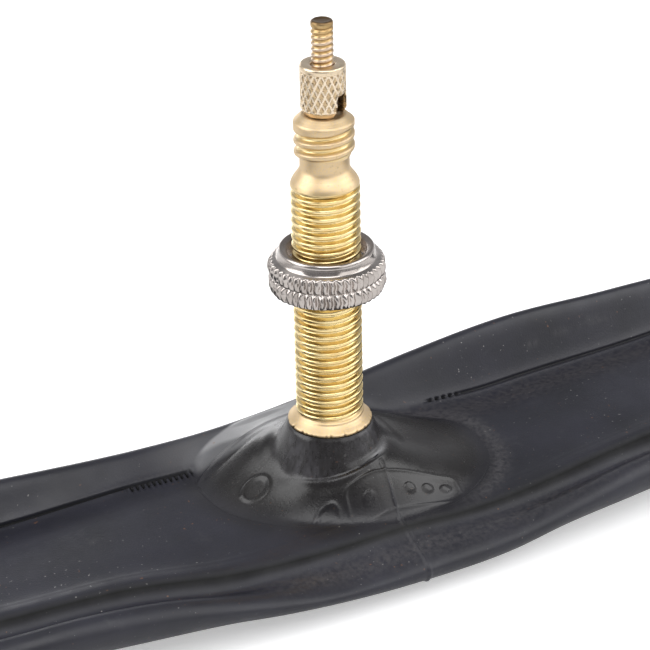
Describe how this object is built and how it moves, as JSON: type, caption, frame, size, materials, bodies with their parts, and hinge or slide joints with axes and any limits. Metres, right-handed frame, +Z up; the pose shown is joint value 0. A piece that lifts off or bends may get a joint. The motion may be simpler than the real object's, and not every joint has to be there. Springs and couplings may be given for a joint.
{
  "type": "bicycle inner tube",
  "caption": "Let-down bicycle inner tube lying flat: a hollow rubber ring with a moulded valve pad, a slim threaded brass valve, a knurled rim nut and a lock nut on the valve's pin.",
  "frame": {"origin": "centre of the ring, on the surface that the tube lies on", "axes": "+Z up, along the valve stem; the valve stands at -Y on the ring; +X along the tube at the valve, to the right as seen from outside"},
  "size_m": [0.6169, 0.617, 0.0502],
  "materials": {
    "tube_rubber": "matte butyl rubber with a faint dusting of talc",
    "pad_rubber": "moulded black rubber with a low gloss",
    "stem_brass": "bright turned brass",
    "nut_nickel": "bright nickel plate",
    "lock_brass": "pale knurled brass",
    "pin_brass": "pale turned brass",
    "seal_rubber": "dark sealing rubber"
  },
  "bodies": {
    "tube": {"tube_body": "tube_rubber", "valve_pad": "pad_rubber", "valve_stem": "stem_brass"},
    "rim_nut": {"rim_nut": "nut_nickel"},
    "lock_nut": {"lock_nut": "lock_brass"},
    "pin": {"valve_pin": "pin_brass", "pin_seal": "seal_rubber", "seal_washer": "pin_brass"}
  },
  "joints": [
    {"name": "rim_nut_travel", "type": "slide", "parent": "tube", "child": "rim_nut", "axis": [0, 0, 1], "range_m": [-0.0109, 0.03]},
    {"name": "pin_press", "type": "slide", "parent": "tube", "child": "pin", "axis": [0, 0, -1], "range_m": [0, 0.003]},
    {"name": "lock_nut_spin", "type": "hinge", "parent": "tube", "child": "lock_nut", "pos_m": [0, -0.295, 0.04425], "axis": [0, 0, 1], "range_deg": [0, 2160]}
  ],
  "couplings": [
    {"joint": "lock_nut_spin", "follows": "pin_press", "rad_per_m": 12566}
  ]
}
